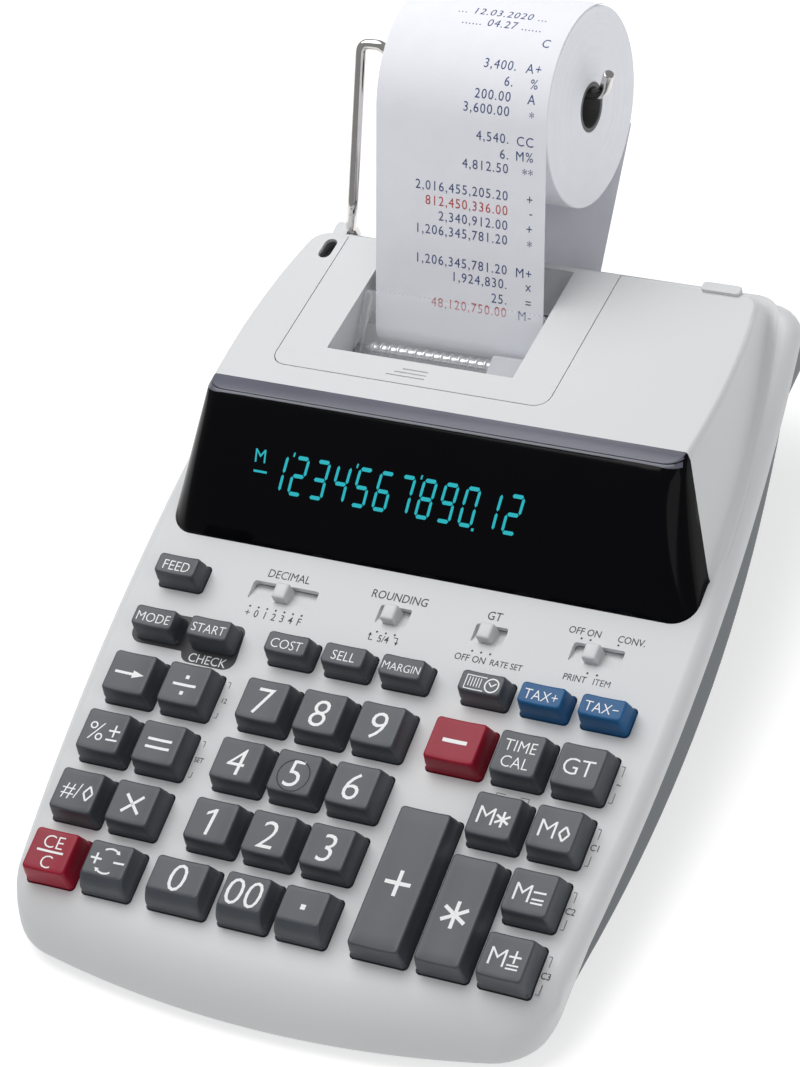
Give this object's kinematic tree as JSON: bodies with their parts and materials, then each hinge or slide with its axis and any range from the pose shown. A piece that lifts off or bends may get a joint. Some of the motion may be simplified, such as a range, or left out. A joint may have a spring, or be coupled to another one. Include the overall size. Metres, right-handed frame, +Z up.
{
  "type": "desktop printing calculator",
  "caption": "Wedge-shaped desktop calculator with sprung keys, slide switches, a dark display lens, a roll printer under a lift-off cover and a hinged wire arm with a paper roll.",
  "frame": {"origin": "on the desk, midway across the width and midway between the housing's front edge and the paper roll's rear", "axes": "+X to the user's right, +Y to the rear, +Z up"},
  "size_m": [0.19, 0.3162, 0.1238],
  "materials": {
    "housing": "light warm grey, fine moulded grain",
    "base": "dark grey, fine moulded grain",
    "lens": "near-black tinted gloss",
    "tube": "dark glass tube",
    "clear": "clear plastic",
    "printer": "grey moulding",
    "platen": "black rubber",
    "screw": "bright steel",
    "ink": "inked foam",
    "board": "green circuit board",
    "rubber": "black rubber",
    "wire": "chromed wire",
    "paper": "white paper",
    "core": "grey core",
    "key": "slate grey with light legends",
    "key_red": "red with light legends",
    "key_blue": "blue with light legends"
  },
  "bodies": {
    "chassis": {"upper_housing": "housing", "lower_housing": "base", "display_lens": "lens", "display_tube": "tube", "printer_frame": "printer", "main_board": "board", "rubber_feet": "rubber", "case_screws": "screw", "paper_tape": "paper"},
    "key_feed_cap": {"key_feed": "key"},
    "key_mode_cap": {"key_mode": "key"},
    "key_start_cap": {"key_start": "key"},
    "key_cost_cap": {"key_cost": "key"},
    "key_sell_cap": {"key_sell": "key"},
    "key_margin_cap": {"key_margin": "key"},
    "key_clock_cap": {"key_clock": "key"},
    "key_tax_plus_cap": {"key_tax_plus": "key_blue"},
    "key_tax_minus_cap": {"key_tax_minus": "key_blue"},
    "key_right_shift_cap": {"key_right_shift": "key"},
    "key_divide_cap": {"key_divide": "key"},
    "key_7_cap": {"key_7": "key"},
    "key_8_cap": {"key_8": "key"},
    "key_9_cap": {"key_9": "key"},
    "key_minus_cap": {"key_minus": "key_red"},
    "key_time_calendar_cap": {"key_time_calendar": "key"},
    "key_grand_total_cap": {"key_grand_total": "key"},
    "key_percent_cap": {"key_percent": "key"},
    "key_equals_cap": {"key_equals": "key"},
    "key_4_cap": {"key_4": "key"},
    "key_5_cap": {"key_5": "key"},
    "key_6_cap": {"key_6": "key"},
    "key_memory_total_cap": {"key_memory_total": "key"},
    "key_memory_subtotal_cap": {"key_memory_subtotal": "key"},
    "key_item_subtotal_cap": {"key_item_subtotal": "key"},
    "key_multiply_cap": {"key_multiply": "key"},
    "key_1_cap": {"key_1": "key"},
    "key_2_cap": {"key_2": "key"},
    "key_3_cap": {"key_3": "key"},
    "key_memory_minus_cap": {"key_memory_minus": "key"},
    "key_clear_cap": {"key_clear": "key_red"},
    "key_sign_change_cap": {"key_sign_change": "key"},
    "key_0_cap": {"key_0": "key"},
    "key_00_cap": {"key_00": "key"},
    "key_point_cap": {"key_point": "key"},
    "key_plus_cap": {"key_plus": "key"},
    "key_total_cap": {"key_total": "key"},
    "key_memory_plus_cap": {"key_memory_plus": "key"},
    "switch_decimal_knob": {"switch_decimal": "housing"},
    "switch_rounding_knob": {"switch_rounding": "housing"},
    "switch_grand_total_knob": {"switch_grand_total": "housing"},
    "switch_print_knob": {"switch_print": "housing"},
    "cover": {"printer_cover": "housing"},
    "window": {"tear_window": "clear"},
    "platen": {"platen_roller": "platen"},
    "screw": {"carriage_screw": "screw"},
    "carriage": {"print_carriage": "printer"},
    "inker": {"ink_roller": "ink"},
    "arm": {"roll_arm": "wire"},
    "roll": {"paper_roll": "paper", "roll_core": "core"}
  },
  "joints": [
    {"name": "key_feed_press", "type": "slide", "parent": "chassis", "child": "key_feed_cap", "axis": [0, 0.1392, -0.9903], "range_m": [0, 0.003], "stiffness_N_per_m": 200, "springref_m": -0.0006},
    {"name": "key_mode_press", "type": "slide", "parent": "chassis", "child": "key_mode_cap", "axis": [0, 0.1392, -0.9903], "range_m": [0, 0.003], "stiffness_N_per_m": 200, "springref_m": -0.0006},
    {"name": "key_start_press", "type": "slide", "parent": "chassis", "child": "key_start_cap", "axis": [0, 0.1392, -0.9903], "range_m": [0, 0.003], "stiffness_N_per_m": 200, "springref_m": -0.0006},
    {"name": "key_cost_press", "type": "slide", "parent": "chassis", "child": "key_cost_cap", "axis": [0, 0.1392, -0.9903], "range_m": [0, 0.003], "stiffness_N_per_m": 200, "springref_m": -0.0006},
    {"name": "key_sell_press", "type": "slide", "parent": "chassis", "child": "key_sell_cap", "axis": [0, 0.1392, -0.9903], "range_m": [0, 0.003], "stiffness_N_per_m": 200, "springref_m": -0.0006},
    {"name": "key_margin_press", "type": "slide", "parent": "chassis", "child": "key_margin_cap", "axis": [0, 0.1392, -0.9903], "range_m": [0, 0.003], "stiffness_N_per_m": 200, "springref_m": -0.0006},
    {"name": "key_clock_press", "type": "slide", "parent": "chassis", "child": "key_clock_cap", "axis": [0, 0.1392, -0.9903], "range_m": [0, 0.003], "stiffness_N_per_m": 200, "springref_m": -0.0006},
    {"name": "key_tax_plus_press", "type": "slide", "parent": "chassis", "child": "key_tax_plus_cap", "axis": [0, 0.1392, -0.9903], "range_m": [0, 0.003], "stiffness_N_per_m": 200, "springref_m": -0.0006},
    {"name": "key_tax_minus_press", "type": "slide", "parent": "chassis", "child": "key_tax_minus_cap", "axis": [0, 0.1392, -0.9903], "range_m": [0, 0.003], "stiffness_N_per_m": 200, "springref_m": -0.0006},
    {"name": "key_right_shift_press", "type": "slide", "parent": "chassis", "child": "key_right_shift_cap", "axis": [0, 0.1392, -0.9903], "range_m": [0, 0.003], "stiffness_N_per_m": 200, "springref_m": -0.0006},
    {"name": "key_divide_press", "type": "slide", "parent": "chassis", "child": "key_divide_cap", "axis": [0, 0.1392, -0.9903], "range_m": [0, 0.003], "stiffness_N_per_m": 200, "springref_m": -0.0006},
    {"name": "key_7_press", "type": "slide", "parent": "chassis", "child": "key_7_cap", "axis": [0, 0.1392, -0.9903], "range_m": [0, 0.003], "stiffness_N_per_m": 200, "springref_m": -0.0006},
    {"name": "key_8_press", "type": "slide", "parent": "chassis", "child": "key_8_cap", "axis": [0, 0.1392, -0.9903], "range_m": [0, 0.003], "stiffness_N_per_m": 200, "springref_m": -0.0006},
    {"name": "key_9_press", "type": "slide", "parent": "chassis", "child": "key_9_cap", "axis": [0, 0.1392, -0.9903], "range_m": [0, 0.003], "stiffness_N_per_m": 200, "springref_m": -0.0006},
    {"name": "key_minus_press", "type": "slide", "parent": "chassis", "child": "key_minus_cap", "axis": [0, 0.1392, -0.9903], "range_m": [0, 0.003], "stiffness_N_per_m": 200, "springref_m": -0.0006},
    {"name": "key_time_calendar_press", "type": "slide", "parent": "chassis", "child": "key_time_calendar_cap", "axis": [0, 0.1392, -0.9903], "range_m": [0, 0.003], "stiffness_N_per_m": 200, "springref_m": -0.0006},
    {"name": "key_grand_total_press", "type": "slide", "parent": "chassis", "child": "key_grand_total_cap", "axis": [0, 0.1392, -0.9903], "range_m": [0, 0.003], "stiffness_N_per_m": 200, "springref_m": -0.0006},
    {"name": "key_percent_press", "type": "slide", "parent": "chassis", "child": "key_percent_cap", "axis": [0, 0.1392, -0.9903], "range_m": [0, 0.003], "stiffness_N_per_m": 200, "springref_m": -0.0006},
    {"name": "key_equals_press", "type": "slide", "parent": "chassis", "child": "key_equals_cap", "axis": [0, 0.1392, -0.9903], "range_m": [0, 0.003], "stiffness_N_per_m": 200, "springref_m": -0.0006},
    {"name": "key_4_press", "type": "slide", "parent": "chassis", "child": "key_4_cap", "axis": [0, 0.1392, -0.9903], "range_m": [0, 0.003], "stiffness_N_per_m": 200, "springref_m": -0.0006},
    {"name": "key_5_press", "type": "slide", "parent": "chassis", "child": "key_5_cap", "axis": [0, 0.1392, -0.9903], "range_m": [0, 0.003], "stiffness_N_per_m": 200, "springref_m": -0.0006},
    {"name": "key_6_press", "type": "slide", "parent": "chassis", "child": "key_6_cap", "axis": [0, 0.1392, -0.9903], "range_m": [0, 0.003], "stiffness_N_per_m": 200, "springref_m": -0.0006},
    {"name": "key_memory_total_press", "type": "slide", "parent": "chassis", "child": "key_memory_total_cap", "axis": [0, 0.1392, -0.9903], "range_m": [0, 0.003], "stiffness_N_per_m": 200, "springref_m": -0.0006},
    {"name": "key_memory_subtotal_press", "type": "slide", "parent": "chassis", "child": "key_memory_subtotal_cap", "axis": [0, 0.1392, -0.9903], "range_m": [0, 0.003], "stiffness_N_per_m": 200, "springref_m": -0.0006},
    {"name": "key_item_subtotal_press", "type": "slide", "parent": "chassis", "child": "key_item_subtotal_cap", "axis": [0, 0.1392, -0.9903], "range_m": [0, 0.003], "stiffness_N_per_m": 200, "springref_m": -0.0006},
    {"name": "key_multiply_press", "type": "slide", "parent": "chassis", "child": "key_multiply_cap", "axis": [0, 0.1392, -0.9903], "range_m": [0, 0.003], "stiffness_N_per_m": 200, "springref_m": -0.0006},
    {"name": "key_1_press", "type": "slide", "parent": "chassis", "child": "key_1_cap", "axis": [0, 0.1392, -0.9903], "range_m": [0, 0.003], "stiffness_N_per_m": 200, "springref_m": -0.0006},
    {"name": "key_2_press", "type": "slide", "parent": "chassis", "child": "key_2_cap", "axis": [0, 0.1392, -0.9903], "range_m": [0, 0.003], "stiffness_N_per_m": 200, "springref_m": -0.0006},
    {"name": "key_3_press", "type": "slide", "parent": "chassis", "child": "key_3_cap", "axis": [0, 0.1392, -0.9903], "range_m": [0, 0.003], "stiffness_N_per_m": 200, "springref_m": -0.0006},
    {"name": "key_memory_minus_press", "type": "slide", "parent": "chassis", "child": "key_memory_minus_cap", "axis": [0, 0.1392, -0.9903], "range_m": [0, 0.003], "stiffness_N_per_m": 200, "springref_m": -0.0006},
    {"name": "key_clear_press", "type": "slide", "parent": "chassis", "child": "key_clear_cap", "axis": [0, 0.1392, -0.9903], "range_m": [0, 0.003], "stiffness_N_per_m": 200, "springref_m": -0.0006},
    {"name": "key_sign_change_press", "type": "slide", "parent": "chassis", "child": "key_sign_change_cap", "axis": [0, 0.1392, -0.9903], "range_m": [0, 0.003], "stiffness_N_per_m": 200, "springref_m": -0.0006},
    {"name": "key_0_press", "type": "slide", "parent": "chassis", "child": "key_0_cap", "axis": [0, 0.1392, -0.9903], "range_m": [0, 0.003], "stiffness_N_per_m": 200, "springref_m": -0.0006},
    {"name": "key_00_press", "type": "slide", "parent": "chassis", "child": "key_00_cap", "axis": [0, 0.1392, -0.9903], "range_m": [0, 0.003], "stiffness_N_per_m": 200, "springref_m": -0.0006},
    {"name": "key_point_press", "type": "slide", "parent": "chassis", "child": "key_point_cap", "axis": [0, 0.1392, -0.9903], "range_m": [0, 0.003], "stiffness_N_per_m": 200, "springref_m": -0.0006},
    {"name": "key_plus_press", "type": "slide", "parent": "chassis", "child": "key_plus_cap", "axis": [0, 0.1392, -0.9903], "range_m": [0, 0.003], "stiffness_N_per_m": 250, "springref_m": -0.001},
    {"name": "key_total_press", "type": "slide", "parent": "chassis", "child": "key_total_cap", "axis": [0, 0.1392, -0.9903], "range_m": [0, 0.003], "stiffness_N_per_m": 250, "springref_m": -0.001},
    {"name": "key_memory_plus_press", "type": "slide", "parent": "chassis", "child": "key_memory_plus_cap", "axis": [0, 0.1392, -0.9903], "range_m": [0, 0.003], "stiffness_N_per_m": 200, "springref_m": -0.0006},
    {"name": "switch_decimal_slide", "type": "slide", "parent": "chassis", "child": "switch_decimal_knob", "axis": [1, 0, 0], "range_m": [-0.0088, 0.0088]},
    {"name": "switch_rounding_slide", "type": "slide", "parent": "chassis", "child": "switch_rounding_knob", "axis": [1, 0, 0], "range_m": [-0.0022, 0.0034]},
    {"name": "switch_grand_total_slide", "type": "slide", "parent": "chassis", "child": "switch_grand_total_knob", "axis": [1, 0, 0], "range_m": [-0.0022, 0.0034]},
    {"name": "switch_print_slide", "type": "slide", "parent": "chassis", "child": "switch_print_knob", "axis": [1, 0, 0], "range_m": [-0.0045, 0.0068]},
    {"name": "cover_lift", "type": "slide", "parent": "chassis", "child": "cover", "axis": [0, 0.0906, 0.9959], "range_m": [0, 0.012]},
    {"name": "window_lift", "type": "hinge", "parent": "cover", "child": "window", "pos_m": [-0.0165, 0.06715, 0.06049], "axis": [1, 0, 0], "range_deg": [-18, 0]},
    {"name": "platen_spin", "type": "hinge", "parent": "chassis", "child": "platen", "pos_m": [-0.0165, 0.06817, 0.04821], "axis": [1, 0, 0], "continuous": true},
    {"name": "screw_spin", "type": "hinge", "parent": "chassis", "child": "screw", "pos_m": [-0.0165, 0.0564, 0.04787], "axis": [1, 0, 0], "range_deg": [-2520, 0]},
    {"name": "carriage_slide", "type": "slide", "parent": "chassis", "child": "carriage", "axis": [1, 0, 0], "range_m": [-0.042, 0]},
    {"name": "ink_spin", "type": "hinge", "parent": "carriage", "child": "inker", "pos_m": [0.004, 0.04742, 0.04136], "axis": [1, 0, 0], "continuous": true},
    {"name": "arm_hinge", "type": "hinge", "parent": "chassis", "child": "arm", "pos_m": [-0.075, 0.10204, 0.04499], "axis": [1, 0, 0], "range_deg": [0, 14], "deforming": ["paper_tape"]},
    {"name": "roll_spin", "type": "hinge", "parent": "arm", "child": "roll", "pos_m": [-0.0165, 0.12711, 0.09224], "axis": [1, 0, 0], "continuous": true}
  ],
  "couplings": [
    {"joint": "screw_spin", "follows": "carriage_slide", "rad_per_m": 1047.2}
  ]
}
